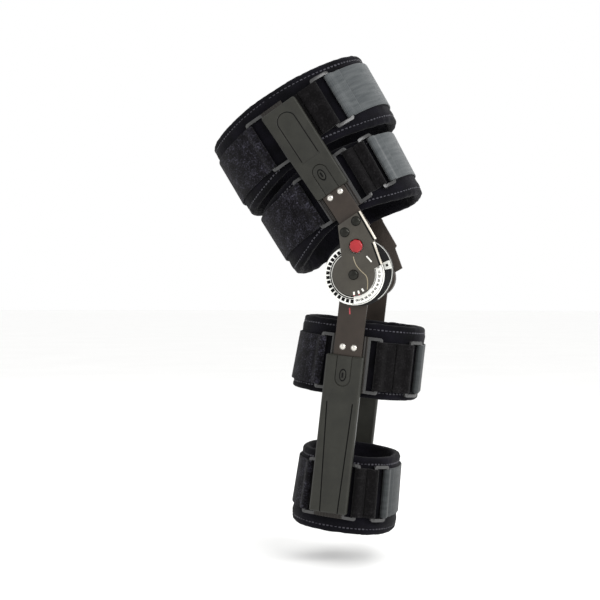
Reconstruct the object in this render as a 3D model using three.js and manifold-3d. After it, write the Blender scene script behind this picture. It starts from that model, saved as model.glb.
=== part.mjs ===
// Hinged knee brace for a right leg, with a dial hinge, telescoping side bars and four strapped cuffs.
// Millimetres, +Z up. The origin is on the knee's flexion axis, midway between the two hinges.
// +X points to the front of the leg and -Y to its outer side.

import * as THREE from 'three';
import { mergeVertices } from 'three/addons/utils/BufferGeometryUtils.js';
import Module from 'manifold-3d';

const wasm = await Module();
wasm.setup();

// Pose of the two halves, in degrees: both lean back, the thigh going up and the shank going down
const THIGH_LEAN = 33.5;
const SHANK_LEAN = 6.5;

const LATERAL = -1;
const MEDIAL = 1;
const SEAT_GAP = 0.3;

// Distance from the mid plane of each layer of the hinge and bars, inner face then outer face
const LAYERS = {
  lowerBar: [66, 69.7],
  housing: [70, 75.7],
  dial: [76, 80.2],
  upperBar: [76.5, 80],
  arm: [80.5, 84],
  upperSleeve: [73.9, 82.9],
  lowerSleeve: [63.4, 72.4],
};

// Hinge
const ARM_DISC_R = 21.5;
const DIAL_R = 30.5;
const HOUSING_R = 34.5;
const HOUSING_OFFSET = [5.2, 0.5];
const PIVOT_R = 4;
const PIVOT_HEAD_R = 5.2;
const PIVOT_FLANGE = { r: 7, thick: 1.7 };
const PIVOT_HEAD_H = 2.3;
const LOCK_BUTTON = { s: 18, z: 22.5, r: 6.8, inner: 82, outer: 86.4 };
const LOCK_HOLE_R = 7.2;
const STOP_TAB = { angle: -17.5, halfWidth: 6.5, rIn: 31.2, rOut: 38, thick: 3.8, knob: 4.4, knobRise: 1.2 };

// Bars and sleeves: z runs up along the thigh and along the shank, s towards the front
const UPPER_BAR = { s: 28.4, width: 25.4, z0: 33, z1: 172 };
const LOWER_BAR = { s: 0.5, width: 29, discR: 22, z1: -195 };
const UPPER_SLEEVE = { s: 28.4, near: 82, far: 186, widths: [37, 41], bevel: 1.2, corner: 3 };
const LOWER_SLEEVE = { s: -1.5, near: -82, far: -243, widths: [38.5, 38.5], bevel: 1.6, corner: 2 };
const CHANNEL = { clearance: 0.4, faceGap: 0.3, endWall: 7 };
const LATCH = {
  width: 15, length: 31, thick: 1.2, slot: 0.5, buttonFrom: 20, button: [2.8, 5.2], rise: 1.6,
};
const RECESS = { width: 21, z0: 122, z1: 178, depth: 0.9 };
const GROOVE = {
  nearMid: -1.5, nearHalf: 13.2, farMid: -0.5, farHalf: 9, z0: -130, z1: -243, width: 1.2, depth: 0.9,
};

// Rivet heads: the half and face they sit on, their place there and their size
const RIVET_SIZES = {
  dark: { r: 5, h: 2.2 },
  bright: { r: 3.1, h: 1.7 },
};
const RIVETS = [
  { name: 'arm_rivet_front', part: 'thigh', on: 'arm', s: 31.7, z: 43.5, metal: 'dark' },
  { name: 'arm_rivet_rear', part: 'thigh', on: 'arm', s: 16, z: 40.5, metal: 'dark' },
  { name: 'upper_bar_rivet_front', part: 'thigh', on: 'upperBar', s: 34.6, z: 78.2, metal: 'bright' },
  { name: 'upper_bar_rivet_rear', part: 'thigh', on: 'upperBar', s: 22.4, z: 78.2, metal: 'bright' },
  { name: 'lower_bar_rivet_front', part: 'shank', on: 'lowerBar', s: 6.4, z: -73.5, metal: 'bright' },
  { name: 'lower_bar_rivet_rear', part: 'shank', on: 'lowerBar', s: -5.2, z: -73.5, metal: 'bright' },
];

// Cuffs. The pad's outer line is an oval centred at s, with half widths a (front to back) and b (sideways).
// low and high are its rims, at the back and at the front, and the arches lift them at the sides.
// lowReach and highReach change how far the oval reaches back and forward at each rim: the cuff tapers.
// Places along the oval are arc lengths from the outer side's middle, positive towards the front.
const CUFFS = [
  {
    name: 'upper_thigh', part: 'thigh', s: 25, a: 90, b: 71, wall: 8,
    low: [121, 118], high: [206, 200], lowArch: 10, highArch: 5,
    lowReach: [1.5, 2.6], highReach: [-2, 8.4],
    strapLow: 138, leftLoop: -34, leftWindow: 17, rightLoop: null, tuck: 8, buckle: [41, 57],
  },
  {
    name: 'lower_thigh', part: 'thigh', s: 19, a: 82.5, b: 71, wall: 8,
    low: [40, 39], high: [115, 113], lowArch: 14, highArch: 8,
    lowReach: [-3.3, -3], highReach: [-4.5, 4.6],
    strapLow: 61, leftLoop: -20, leftWindow: 9.5, rightLoop: 38, tuck: null, buckle: [55, 67],
  },
  {
    name: 'upper_calf', part: 'shank', s: 1.5, a: 68, b: 60.5, wall: 8,
    low: [-124, -124], high: [-46, -46], lowArch: 0, highArch: 0,
    lowReach: [-1, -1], highReach: [-7, -1],
    strapLow: -115, leftLoop: -31, leftWindow: 7.5, rightLoop: 30, tuck: null, buckle: [63, 78],
  },
  {
    name: 'lower_calf', part: 'shank', s: 5.5, a: 55.5, b: 60.5, wall: 9,
    low: [-265, -265], high: [-184, -184], lowArch: 0, highArch: 0,
    lowReach: [0, -1], highReach: [-4, -4],
    strapLow: -245, leftLoop: -34, leftWindow: 7.5, rightLoop: 19, tuck: null, buckle: [37, 51],
  },
];
const OVAL_POWER = 2.3;
const PAD_STEPS = 40;
const PAD_ROUND = { across: 1.6, along: 2.2 };
const ARCH_POWER = 6;

// Straps, loops and buckles, as heights above the pad's outer line
const STRAP_WIDTH = 50;
const STRAP = { lift: 0.4, loopThick: 2.2, webThick: 1.6, fold: 14, step: 9 };
const BRACKET = { lift: 0.4, thick: 2.2, ramp: 11, lip: 0.8 };
const LOOP = { barR: 1.6, barLift: 4, eyeHoleR: 2.1, window: 4.3, barTrim: 0.7, sideGap: 0.5, arm: 3.5 };
const MEDIAL_LOOP_REACH = 32;

const DEG = Math.PI / 180;

const MATERIALS = {
  foam: material(0x17161c, 0.95, 0),
  loopFabric: material(0x1b1a1e, 1, 0),
  webbing: material(0x5f6465, 0.8, 0),
  sleeve: material(0x3f3f38, 0.5, 0.1),
  bar: material(0x4a423c, 0.45, 0.5),
  arm: material(0x4a4a40, 0.45, 0.5),
  housing: material(0x121214, 0.5, 0),
  dial: material(0xe6e6e0, 0.5, 0),
  loop: material(0x3c3d3d, 0.5, 0),
  bright: material(0xcfcdc8, 0.3, 1),
  dark: material(0x5a5a54, 0.35, 0.9),
  red: material(0xb02a30, 0.35, 0),
  grey: material(0xb9bab6, 0.5, 0),
};

function material(color, roughness, metalness) {
  return new THREE.MeshStandardMaterial({ color, roughness, metalness });
}

// Joining and cutting closed meshes

function toSolid(geometry) {
  const bare = geometry.clone();
  bare.deleteAttribute('normal');
  bare.deleteAttribute('uv');
  const merged = mergeVertices(bare, 1e-4);
  return new wasm.Manifold(new wasm.Mesh({
    numProp: 3,
    vertProperties: new Float32Array(merged.attributes.position.array),
    triVerts: new Uint32Array(merged.index.array),
  }));
}

function toGeometry(solid) {
  const mesh = solid.getMesh();
  const geometry = new THREE.BufferGeometry();
  geometry.setAttribute('position', new THREE.BufferAttribute(new Float32Array(mesh.vertProperties), 3));
  geometry.setIndex(new THREE.BufferAttribute(new Uint32Array(mesh.triVerts), 1));
  return geometry.toNonIndexed();
}

function cut(geometry, tools) {
  return toGeometry(tools.reduce((solid, tool) => solid.subtract(toSolid(tool)), toSolid(geometry)));
}

function join(geometries) {
  return toGeometry(geometries.map(toSolid).reduce((solid, other) => solid.add(other)));
}

// Flat plates standing in the leg's side plane

function plate(shape, side, [inner, outer], bevel = 0, curveSegments = 12) {
  const geometry = new THREE.ExtrudeGeometry(shape, {
    depth: outer - inner - 2 * bevel,
    bevelEnabled: bevel > 0,
    bevelThickness: bevel,
    bevelSize: bevel,
    bevelOffset: -bevel,
    bevelSegments: 1,
    curveSegments,
  });
  geometry.translate(0, 0, bevel);
  geometry.rotateX(Math.PI / 2);
  geometry.translate(0, side === LATERAL ? -inner : outer, 0);
  return geometry;
}

function roundHole(r, s = 0, z = 0) {
  return new THREE.Path().absarc(s, z, r, 0, 2 * Math.PI, true);
}

function disc(r, s = 0, z = 0) {
  return new THREE.Shape().absarc(s, z, r, 0, 2 * Math.PI, false);
}

function rectangle(s0, z0, s1, z1) {
  return new THREE.Shape([[s0, z0], [s1, z0], [s1, z1], [s0, z1]].map(([s, z]) => new THREE.Vector2(s, z)));
}

function roundedPolygon(corners, radius) {
  const shape = new THREE.Shape();
  corners.forEach((corner, k) => {
    const before = corners[(k + corners.length - 1) % corners.length];
    const after = corners[(k + 1) % corners.length];
    const enter = corner.clone().add(before.clone().sub(corner).setLength(radius));
    const leave = corner.clone().add(after.clone().sub(corner).setLength(radius));
    if (k === 0) shape.moveTo(enter.x, enter.y);
    else shape.lineTo(enter.x, enter.y);
    shape.quadraticCurveTo(corner.x, corner.y, leave.x, leave.y);
  });
  return shape;
}

// Hinge arm: a round end on the knee axis that fans out to the bar, which lies ahead of the axis
const ARM = {
  top: 50, rearTop: 14, discFrom: 92, discTo: 343,
  frontEdge: [[29.8, -7], [35.4, 16.2], [38.5, 17.6], [40.6, 50]],
};

function armOutline(barTop = null) {
  const shape = new THREE.Shape();
  const rearTop = barTop ? UPPER_BAR.s - UPPER_BAR.width / 2 : ARM.rearTop;
  const discFrom = ARM.discFrom * DEG;
  shape.moveTo(rearTop, ARM.top);
  shape.lineTo(ARM_DISC_R * Math.cos(discFrom), ARM_DISC_R * Math.sin(discFrom));
  shape.absarc(0, 0, ARM_DISC_R, discFrom, ARM.discTo * DEG, false);
  for (const corner of ARM.frontEdge) shape.lineTo(...corner);
  if (barTop) {
    const frontTop = UPPER_BAR.s + UPPER_BAR.width / 2;
    shape.lineTo(frontTop, ARM.top);
    shape.lineTo(frontTop, barTop);
    shape.lineTo(rearTop, barTop);
  }
  shape.holes.push(roundHole(PIVOT_R + SEAT_GAP));
  return shape;
}

function lathe(profile, side, segments) {
  const geometry = new THREE.LatheGeometry(profile.map(([r, y]) => new THREE.Vector2(r, y)), segments);
  if (side === LATERAL) geometry.rotateX(Math.PI);
  return geometry;
}

function rivetHead({ on, s, z, metal }) {
  const { r, h } = RIVET_SIZES[metal];
  const foot = LAYERS[on][1] + SEAT_GAP / 3;
  const dome = [[0, 0], [1, 0], [0.94, 0.4], [0.62, 0.85], [0, 1]];
  return lathe(dome.map(([across, up]) => [r * across, foot + h * up]), LATERAL, 14).translate(s, 0, z);
}

function pivot(side, headFace) {
  const flange = LAYERS.lowerBar[0] - SEAT_GAP;
  const under = headFace + SEAT_GAP;
  return lathe([
    [0, flange - PIVOT_FLANGE.thick],
    [PIVOT_FLANGE.r, flange - PIVOT_FLANGE.thick],
    [PIVOT_FLANGE.r, flange],
    [PIVOT_R, flange],
    [PIVOT_R, under],
    [PIVOT_HEAD_R, under],
    [PIVOT_HEAD_R * 0.85, under + PIVOT_HEAD_H * 0.6],
    [PIVOT_HEAD_R * 0.45, under + PIVOT_HEAD_H * 0.93],
    [0, under + PIVOT_HEAD_H],
  ], side, 20);
}

function lockButton() {
  const { s, z, r, inner, outer } = LOCK_BUTTON;
  const octagon = Array.from({ length: 8 }, (unused, k) => (k + 0.5) * 45 * DEG);
  const shape = new THREE.Shape(octagon.map((turn) =>
    new THREE.Vector2(s + r * Math.cos(turn), z + r * Math.sin(turn))));
  return plate(shape, LATERAL, [inner, outer], 0.9);
}

function flexionStop() {
  const { angle, halfWidth, rIn, rOut, thick, knob, knobRise } = STOP_TAB;
  const foot = LAYERS.housing[1] + SEAT_GAP;
  const from = (angle - halfWidth) * DEG;
  const to = (angle + halfWidth) * DEG;
  const sector = new THREE.Shape().absarc(0, 0, rOut, from, to, false);
  sector.absarc(0, 0, rIn, to, from, true);
  const middle = (rIn + rOut) / 2;
  const grip = new THREE.BoxGeometry(knob, 2 * knobRise, knob);
  grip.rotateY(-angle * DEG);
  grip.translate(middle * Math.cos(angle * DEG), -(foot + thick), middle * Math.sin(angle * DEG));
  return join([plate(sector, LATERAL, [foot, foot + thick], 0, 4), grip]);
}

function lowerBarShape() {
  const { s, width, discR, z1 } = LOWER_BAR;
  const half = width / 2;
  const shape = new THREE.Shape();
  shape.moveTo(s - half, z1);
  shape.lineTo(s + half, z1);
  const frontTurn = -Math.acos((s + half) / discR);
  const rearTurn = -Math.acos((s - half) / discR) + 2 * Math.PI;
  shape.absarc(0, 0, discR, frontTurn, rearTurn, false);
  shape.holes.push(roundHole(PIVOT_R + SEAT_GAP));
  return shape;
}

// Sleeves: a tapering box that slides on a bar, open at the near end

function sleeveShape({ s, near, far, widths: [nearWidth, farWidth], corner }) {
  return roundedPolygon([
    new THREE.Vector2(s - nearWidth / 2, near),
    new THREE.Vector2(s + nearWidth / 2, near),
    new THREE.Vector2(s + farWidth / 2, far),
    new THREE.Vector2(s - farWidth / 2, far),
  ], corner);
}

function channel(sleeve, bar, layer, side) {
  const half = bar.width / 2 + CHANNEL.clearance;
  const out = Math.sign(sleeve.far - sleeve.near);
  const mouth = sleeve.near - 2 * out;
  const end = sleeve.far - CHANNEL.endWall * out;
  const hollow = rectangle(bar.s - half, mouth, bar.s + half, end);
  return plate(hollow, side, [layer[0] - CHANNEL.faceGap, layer[1] + CHANNEL.faceGap]);
}

function tongueShape(sleeve, halfWidth, length) {
  const out = Math.sign(sleeve.far - sleeve.near);
  const tip = sleeve.near + (length - halfWidth) * out;
  const shape = new THREE.Shape();
  shape.moveTo(sleeve.s - halfWidth, sleeve.near - LATCH.slot * out);
  shape.lineTo(sleeve.s + halfWidth, sleeve.near - LATCH.slot * out);
  shape.lineTo(sleeve.s + halfWidth, tip);
  shape.absarc(sleeve.s, tip, halfWidth, 0, Math.PI * out, out < 0);
  return shape;
}

function latchPocket(sleeve, barFace, outer) {
  const half = LATCH.width / 2 + LATCH.slot;
  return plate(tongueShape(sleeve, half, LATCH.length + LATCH.slot), LATERAL, [barFace, outer + 2], 0, 8);
}

function latch(sleeve, outer) {
  const out = Math.sign(sleeve.far - sleeve.near);
  const half = LATCH.width / 2;
  const face = outer - SEAT_GAP;
  const inset = 2 * LATCH.slot;
  const tongue = tongueShape({ ...sleeve, near: sleeve.near + inset * out }, half, LATCH.length - inset);
  const centre = sleeve.near + LATCH.buttonFrom * out;
  const button = new THREE.Shape().absellipse(sleeve.s, centre, ...LATCH.button, 0, 2 * Math.PI, false);
  return join([
    plate(tongue, LATERAL, [face - LATCH.thick, face], 0, 8),
    plate(button, LATERAL, [face - 0.5, face + LATCH.rise], 0.5, 6),
  ]);
}

function grooves(outer) {
  const { nearMid, nearHalf, farMid, farHalf, z0, z1, width, depth } = GROOVE;
  return [-1, 1].map((turn) => {
    const near = nearMid + turn * nearHalf;
    const far = farMid + turn * farHalf;
    const strip = new THREE.Shape([
      new THREE.Vector2(near - width / 2, z0),
      new THREE.Vector2(near + width / 2, z0),
      new THREE.Vector2(far + width / 2, z1 - 1),
      new THREE.Vector2(far - width / 2, z1 - 1),
    ]);
    return plate(strip, LATERAL, [outer - depth, outer + 1]);
  });
}

function recess({ s }, outer) {
  const { width, z0, z1, depth } = RECESS;
  const half = width / 2;
  const stadium = new THREE.Shape();
  stadium.moveTo(s - half, z0);
  stadium.lineTo(s + half, z0);
  stadium.absarc(s, z1 - half, half, 0, Math.PI, false);
  return plate(stadium, LATERAL, [outer - depth, outer + 1], 0, 8);
}

// Cuffs: everything wraps the same oval, so a point is an arc length along it and a height above it

function ovalLine({ s, a, b }) {
  const count = 1440;
  const power = 2 / OVAL_POWER;
  const points = Array.from({ length: count + 1 }, (unused, k) => {
    const turn = -Math.PI / 2 + (2 * Math.PI * k) / count;
    const [cos, sin] = [Math.cos(turn), Math.sin(turn)];
    return new THREE.Vector2(
      s + a * Math.sign(cos) * Math.abs(cos) ** power,
      b * Math.sign(sin) * Math.abs(sin) ** power,
    );
  });
  const arcs = [0];
  for (let k = 1; k <= count; k += 1) arcs.push(arcs[k - 1] + points[k].distanceTo(points[k - 1]));
  const length = arcs[count];
  const at = (arc, lift) => {
    const wanted = ((arc % length) + length) % length;
    let k = 1;
    while (arcs[k] < wanted) k += 1;
    const part = (wanted - arcs[k - 1]) / (arcs[k] - arcs[k - 1]);
    const along = points[k].clone().sub(points[k - 1]).normalize();
    const outward = new THREE.Vector2(along.y, -along.x);
    return points[k - 1].clone().lerp(points[k], part).addScaledVector(outward, lift);
  };
  return { at, length };
}

function wrap(line, outline, low, height, holes = []) {
  const shape = new THREE.Shape(outline.map(([arc, lift]) => line.at(arc, lift)).reverse());
  for (const hole of holes) shape.holes.push(new THREE.Path(hole.map(([arc, lift]) => line.at(arc, lift))));
  return new THREE.ExtrudeGeometry(shape, { depth: height, bevelEnabled: false }).translate(0, 0, low);
}

function arcSteps(from, to) {
  const count = Math.max(1, Math.ceil(Math.abs(to - from) / STRAP.step));
  return Array.from({ length: count + 1 }, (unused, k) => from + ((to - from) * k) / count);
}

function circle(arc, lift, r, fromDeg, toDeg, steps) {
  return Array.from({ length: steps + 1 }, (unused, k) => {
    const turn = (fromDeg + ((toDeg - fromDeg) * k) / steps) * DEG;
    return [arc + r * Math.cos(turn), lift + r * Math.sin(turn)];
  });
}

// A strap's end is plain or folds back on itself round a loop's bar
function strap(line, low, from, to, thick) {
  const top = STRAP.lift + thick;
  const eyeR = LOOP.barLift - STRAP.lift;
  const fold = Math.min(STRAP.fold, (to.arc - from.arc) / 2 - 0.5);
  const outline = arcSteps(from.arc, to.arc).map((arc) => [arc, STRAP.lift]);
  const holes = [];
  if (to.eye) outline.push(...circle(to.arc, LOOP.barLift, eyeR, -60, 100, 6));
  const topFrom = from.eye ? from.arc + fold : from.arc;
  const topTo = to.eye ? to.arc - fold : to.arc;
  outline.push(...arcSteps(topTo, topFrom).map((arc) => [arc, top]));
  if (from.eye) outline.push(...circle(from.arc, LOOP.barLift, eyeR, 80, 240, 6));
  for (const end of [from, to]) {
    if (end.eye) holes.push(circle(end.arc, LOOP.barLift, LOOP.eyeHoleR, 0, 320, 8));
  }
  return wrap(line, outline, low, STRAP_WIDTH, holes);
}

function windowTool(line, low, from, to) {
  const outline = [[from, -1], [to, -1], [to, 9], [from, 9]];
  return wrap(line, outline, low - LOOP.sideGap, STRAP_WIDTH + 2 * LOOP.sideGap);
}

function loopFrame(line, low, outline, windows) {
  const reach = LOOP.sideGap + LOOP.arm;
  const frame = wrap(line, outline, low - reach, STRAP_WIDTH + 2 * reach);
  return cut(frame, windows.map(([from, to]) => windowTool(line, low, from, to)));
}

// A bracket ends in a loop at its rear, and in another loop or a plain edge at its front
function bracket(line, low, rear, front) {
  const top = BRACKET.lift + BRACKET.thick;
  const rearWindow = rear.window ?? LOOP.window;
  const plateFrom = rear.arc + Math.max(BRACKET.ramp, rearWindow + BRACKET.lip);
  const plateTo = front.loop ? front.arc - BRACKET.ramp : front.arc;
  const outline = arcSteps(plateFrom, plateTo).map((arc) => [arc, BRACKET.lift]);
  const windows = [[rear.arc + LOOP.barTrim, rear.arc + rearWindow]];
  if (front.loop) {
    outline.push(...circle(front.arc, LOOP.barLift, LOOP.barR, -90, 90, 4));
    windows.push([front.arc - LOOP.window, front.arc - LOOP.barTrim]);
  }
  outline.push(...arcSteps(plateTo, plateFrom).map((arc) => [arc, top]));
  outline.push(...circle(rear.arc, LOOP.barLift, LOOP.barR, 90, 270, 4));
  return loopFrame(line, low, outline, windows);
}

function buckle(line, low, [near, far]) {
  const { barLift, barR, barTrim } = LOOP;
  const outline = [
    ...arcSteps(near, far).map((arc) => [arc, barLift - barR]),
    ...circle(far, barLift, barR, -60, 60, 4),
    ...arcSteps(far, near).map((arc) => [arc, barLift + barR]),
    ...circle(near, barLift, barR, 120, 240, 4),
  ];
  return loopFrame(line, low, outline, [[near + barTrim, far - barTrim]]);
}

// Tapers a cuff piece: the oval's reach changes from the low rim to the high one
function taper(geometry, { s, a, low, high, lowReach, highReach }) {
  const place = geometry.attributes.position;
  for (let k = 0; k < place.count; k += 1) {
    const side = place.getX(k) > s ? 1 : 0;
    const up = (place.getZ(k) - low[side]) / (high[side] - low[side]);
    const change = THREE.MathUtils.lerp(lowReach[side], highReach[side], up);
    place.setX(k, s + (place.getX(k) - s) * (1 + change / a));
  }
  return geometry;
}

function pad(line, { s, a, b, wall, low, high, lowArch, highArch }) {
  const { across, along } = PAD_ROUND;
  const section = [
    [-across, 0, 0], [0, 0, along], [0, 1, -along], [-across, 1, 0],
    [across - wall, 1, 0], [-wall, 1, -along], [-wall, 0, along], [across - wall, 0, 0],
  ];
  const positions = [];
  const index = [];
  for (let k = 0; k < PAD_STEPS; k += 1) {
    const arc = (line.length * k) / PAD_STEPS;
    const middle = line.at(arc, 0);
    const arch = Math.abs(middle.y / b) ** ARCH_POWER;
    const forward = (middle.x - s + a) / (2 * a);
    const rims = [
      THREE.MathUtils.lerp(...low, forward) + lowArch * arch,
      THREE.MathUtils.lerp(...high, forward) + highArch * arch,
    ];
    section.forEach(([lift, rim, shift], j) => {
      const point = line.at(arc, lift);
      positions.push(point.x, point.y, rims[rim] + shift);
      const here = k * section.length;
      const next = ((k + 1) % PAD_STEPS) * section.length;
      const up = (j + 1) % section.length;
      index.push(here + j, next + j, next + up, here + j, next + up, here + up);
    });
  }
  const geometry = new THREE.BufferGeometry();
  geometry.setAttribute('position', new THREE.Float32BufferAttribute(positions, 3));
  geometry.setIndex(index);
  return geometry.toNonIndexed();
}

// Assembly

const brace = new THREE.Group();
const parts = { thigh: new THREE.Group(), shank: new THREE.Group() };
parts.thigh.rotation.y = -THIGH_LEAN * DEG;
parts.shank.rotation.y = SHANK_LEAN * DEG;
brace.add(parts.thigh, parts.shank);

function add(part, name, geometry, look) {
  geometry.computeVertexNormals();
  const mesh = new THREE.Mesh(geometry, MATERIALS[look]);
  mesh.name = name;
  parts[part].add(mesh);
}

const armShape = armOutline();
armShape.holes.push(roundHole(LOCK_HOLE_R, LOCK_BUTTON.s, LOCK_BUTTON.z));
const pivotHole = () => roundHole(PIVOT_R + SEAT_GAP);
const dialShape = disc(DIAL_R);
dialShape.holes.push(pivotHole());
const housingShape = disc(HOUSING_R, ...HOUSING_OFFSET);
housingShape.holes.push(pivotHole());
const spacerShape = disc(ARM_DISC_R);
spacerShape.holes.push(pivotHole());
const upperBarRear = UPPER_BAR.s - UPPER_BAR.width / 2;
const upperBarShape = rectangle(upperBarRear, UPPER_BAR.z0, upperBarRear + UPPER_BAR.width, UPPER_BAR.z1);

add('thigh', 'hinge_arm', plate(armShape, LATERAL, LAYERS.arm), 'arm');
add('thigh', 'dial', plate(dialShape, LATERAL, LAYERS.dial, 0.5, 20), 'dial');
add('thigh', 'hinge_housing', plate(housingShape, LATERAL, LAYERS.housing, 1, 20), 'housing');
add('thigh', 'pivot', pivot(LATERAL, LAYERS.arm[1]), 'dark');
add('thigh', 'lock_button', lockButton(), 'red');
add('thigh', 'flexion_stop', flexionStop(), 'grey');
add('thigh', 'upper_bar', plate(upperBarShape, LATERAL, LAYERS.upperBar), 'bar');
add('shank', 'lower_bar', plate(lowerBarShape(), LATERAL, LAYERS.lowerBar), 'bar');
for (const rivet of RIVETS) add(rivet.part, rivet.name, rivetHead(rivet), rivet.metal);

const medialTop = [LAYERS.housing[0], LAYERS.upperBar[0] - SEAT_GAP];
add('thigh', 'medial_upper_bar', plate(armOutline(UPPER_BAR.z1), MEDIAL, LAYERS.upperBar), 'bar');
add('thigh', 'medial_spacer', plate(spacerShape, MEDIAL, medialTop, 0.8), 'housing');
add('thigh', 'medial_pivot', pivot(MEDIAL, LAYERS.upperBar[1]), 'dark');
add('shank', 'medial_lower_bar', plate(lowerBarShape(), MEDIAL, LAYERS.lowerBar), 'bar');

// Sleeves with their latches on the outer side, and plain ones on the inner side
const SLEEVES = [
  { name: 'upper', part: 'thigh', sleeve: UPPER_SLEEVE, bar: UPPER_BAR, layer: LAYERS.upperSleeve,
    barLayer: LAYERS.upperBar, carve: (outer) => [recess(UPPER_SLEEVE, outer)] },
  { name: 'lower', part: 'shank', sleeve: LOWER_SLEEVE, bar: LOWER_BAR, layer: LAYERS.lowerSleeve,
    barLayer: LAYERS.lowerBar, carve: grooves },
];
for (const { name, part, sleeve, bar, layer, barLayer, carve } of SLEEVES) {
  const shape = sleeveShape(sleeve);
  const outer = layer[1];
  const pocket = latchPocket(sleeve, barLayer[1], outer);
  const tools = [channel(sleeve, bar, barLayer, LATERAL), pocket, ...carve(outer)];
  add(part, `${name}_sleeve`, cut(plate(shape, LATERAL, layer, sleeve.bevel, 4), tools), 'sleeve');
  add(part, `${name}_latch`, latch(sleeve, outer), 'sleeve');
  const medialBlock = plate(shape, MEDIAL, layer, sleeve.bevel, 4);
  add(part, `medial_${name}_sleeve`, cut(medialBlock, [channel(sleeve, bar, barLayer, MEDIAL)]), 'sleeve');
}

for (const cuff of CUFFS) {
  const { name, part, strapLow, leftLoop, leftWindow, rightLoop, tuck } = cuff;
  const line = ovalLine(cuff);
  const half = line.length / 2;
  const front = rightLoop === null ? { arc: tuck } : { arc: rightLoop, loop: true };
  const sideStart = rightLoop === null ? { arc: tuck + SEAT_GAP } : { arc: rightLoop, eye: true };
  const medialFront = half - MEDIAL_LOOP_REACH;
  const medialRear = half + MEDIAL_LOOP_REACH;
  const rearEnds = [{ arc: medialRear - line.length, eye: true }, { arc: leftLoop, eye: true }];
  const sideEnds = [sideStart, { arc: cuff.buckle[0], eye: true }];
  const frontEnds = [{ arc: cuff.buckle[1], eye: true }, { arc: medialFront, eye: true }];
  const medialEnds = [{ arc: medialFront }, { arc: medialRear, loop: true }];
  const pieces = [
    ['pad', pad(line, cuff), 'foam'],
    ['bracket', bracket(line, strapLow, { arc: leftLoop, window: leftWindow }, front), 'bar'],
    ['medial_bracket', bracket(line, strapLow, ...medialEnds), 'bar'],
    ['buckle', buckle(line, strapLow, cuff.buckle), 'loop'],
    ['rear_strap', strap(line, strapLow, ...rearEnds, STRAP.loopThick), 'loopFabric'],
    ['side_strap', strap(line, strapLow, ...sideEnds, STRAP.loopThick), 'loopFabric'],
    ['front_strap', strap(line, strapLow, ...frontEnds, STRAP.webThick), 'webbing'],
  ];
  for (const [piece, geometry, look] of pieces) add(part, `${name}_${piece}`, taper(geometry, cuff), look);
}

export default brace;
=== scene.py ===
import bisect
import math
import bpy
from mathutils import Matrix, Vector


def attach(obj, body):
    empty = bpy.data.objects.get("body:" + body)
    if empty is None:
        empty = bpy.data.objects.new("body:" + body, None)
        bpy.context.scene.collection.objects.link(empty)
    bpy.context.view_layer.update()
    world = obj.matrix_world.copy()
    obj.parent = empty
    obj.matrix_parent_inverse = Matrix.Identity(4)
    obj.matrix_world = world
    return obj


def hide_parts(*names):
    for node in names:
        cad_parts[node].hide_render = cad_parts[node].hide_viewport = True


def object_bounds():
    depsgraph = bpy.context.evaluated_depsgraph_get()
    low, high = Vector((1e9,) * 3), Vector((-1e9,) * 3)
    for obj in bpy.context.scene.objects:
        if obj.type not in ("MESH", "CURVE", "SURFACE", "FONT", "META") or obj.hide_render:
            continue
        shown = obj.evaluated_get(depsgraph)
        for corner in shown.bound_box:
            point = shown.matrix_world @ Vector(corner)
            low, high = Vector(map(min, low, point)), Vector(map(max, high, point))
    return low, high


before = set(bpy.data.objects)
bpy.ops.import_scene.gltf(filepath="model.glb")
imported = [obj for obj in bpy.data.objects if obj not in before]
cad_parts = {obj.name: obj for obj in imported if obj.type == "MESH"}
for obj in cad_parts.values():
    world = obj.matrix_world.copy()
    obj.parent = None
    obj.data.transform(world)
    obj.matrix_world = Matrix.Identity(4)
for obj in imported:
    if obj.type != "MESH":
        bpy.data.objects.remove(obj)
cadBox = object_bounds()

# Every piece is modelled flat on a bench, in millimetres, and then put in its place on the brace, in metres.
# On the bench x runs to the front of the brace, y up along the bar, and z out from the mid plane.
halfTurn = {
    "thigh": Matrix.Rotation(math.radians(-33.5), 4, "Y"),  # both halves lean back from the hinge
    "shank": Matrix.Rotation(math.radians(6.5), 4, "Y"),
}
mm, metre = 0.001, 1000  # a millimetre in metres, a metre in millimetres
toMetres = Matrix.Scale(mm, 4)
standUp = Matrix.Rotation(math.radians(90), 4, "X")  # the bench's top comes to face the outer side
faces = {  # of the outer side, that rivets and marks sit on: "out" is from the mid plane in mm
    "arm": {"half": "thigh", "body": "upper_hinge", "slot": "arm_metal", "out": 84},
    "dial": {"half": "thigh", "body": "upper_hinge", "slot": "dial_plastic", "out": 80.2},
    "upperBar": {"half": "thigh", "body": "upper_hinge", "slot": "bar_metal", "out": 80},
    "housing": {"half": "thigh", "body": "upper_hinge", "slot": "housing_plastic", "out": 75.7},
    "stop": {"half": "thigh", "body": "stop", "slot": "grey_plastic", "out": 81.0},
    "upperSleeve": {"half": "thigh", "body": "thigh_frame", "slot": "sleeve_plastic", "out": 82.0},
    "upperLatch": {"half": "thigh", "body": "upper_latch_button", "slot": "sleeve_plastic", "out": 82.6},
    "lowerBar": {"half": "shank", "body": "lower_hinge", "slot": "bar_metal", "out": 69.7},
    "lowerSleeve": {"half": "shank", "body": "calf_frame", "slot": "sleeve_plastic", "out": 71.5},
    "lowerLatch": {"half": "shank", "body": "lower_latch_button", "slot": "sleeve_plastic", "out": 72.1},
}


# Small tools of the bench

def deselectAll():
    if bpy.context.mode != "OBJECT":
        bpy.ops.object.mode_set(mode="OBJECT")
    bpy.ops.object.select_all(action="DESELECT")


def use(obj):
    deselectAll()
    obj.select_set(True)
    bpy.context.view_layer.objects.active = obj
    return obj


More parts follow.
